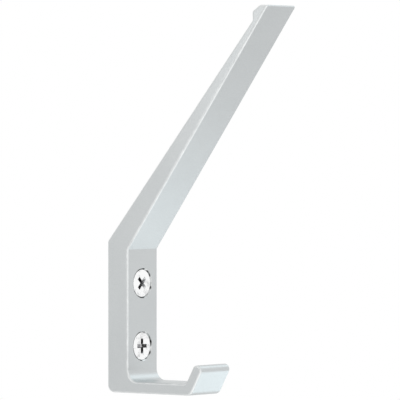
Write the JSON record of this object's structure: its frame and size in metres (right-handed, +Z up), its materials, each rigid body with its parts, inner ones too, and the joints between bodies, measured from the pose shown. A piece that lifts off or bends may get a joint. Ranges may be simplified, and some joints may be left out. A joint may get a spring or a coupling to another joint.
{
  "type": "coat hook",
  "caption": "Hat and coat hook of satin aluminium profile: plate, long raked arm with a nosed tip, and a short lower hook, fixed by countersunk screws.",
  "frame": {"origin": "midway between the two screws, on the flat back that lies against the wall", "axes": "+Z up, -Y out from the wall, X along the width"},
  "size_m": [0.017, 0.1007, 0.1343],
  "materials": {
    "satin_aluminium": "silver anodised, fine satin",
    "plated_steel": "bright plated"
  },
  "bodies": {
    "root": {"hook_body": "satin_aluminium", "mounting_screws": "plated_steel"}
  },
  "joints": []
}
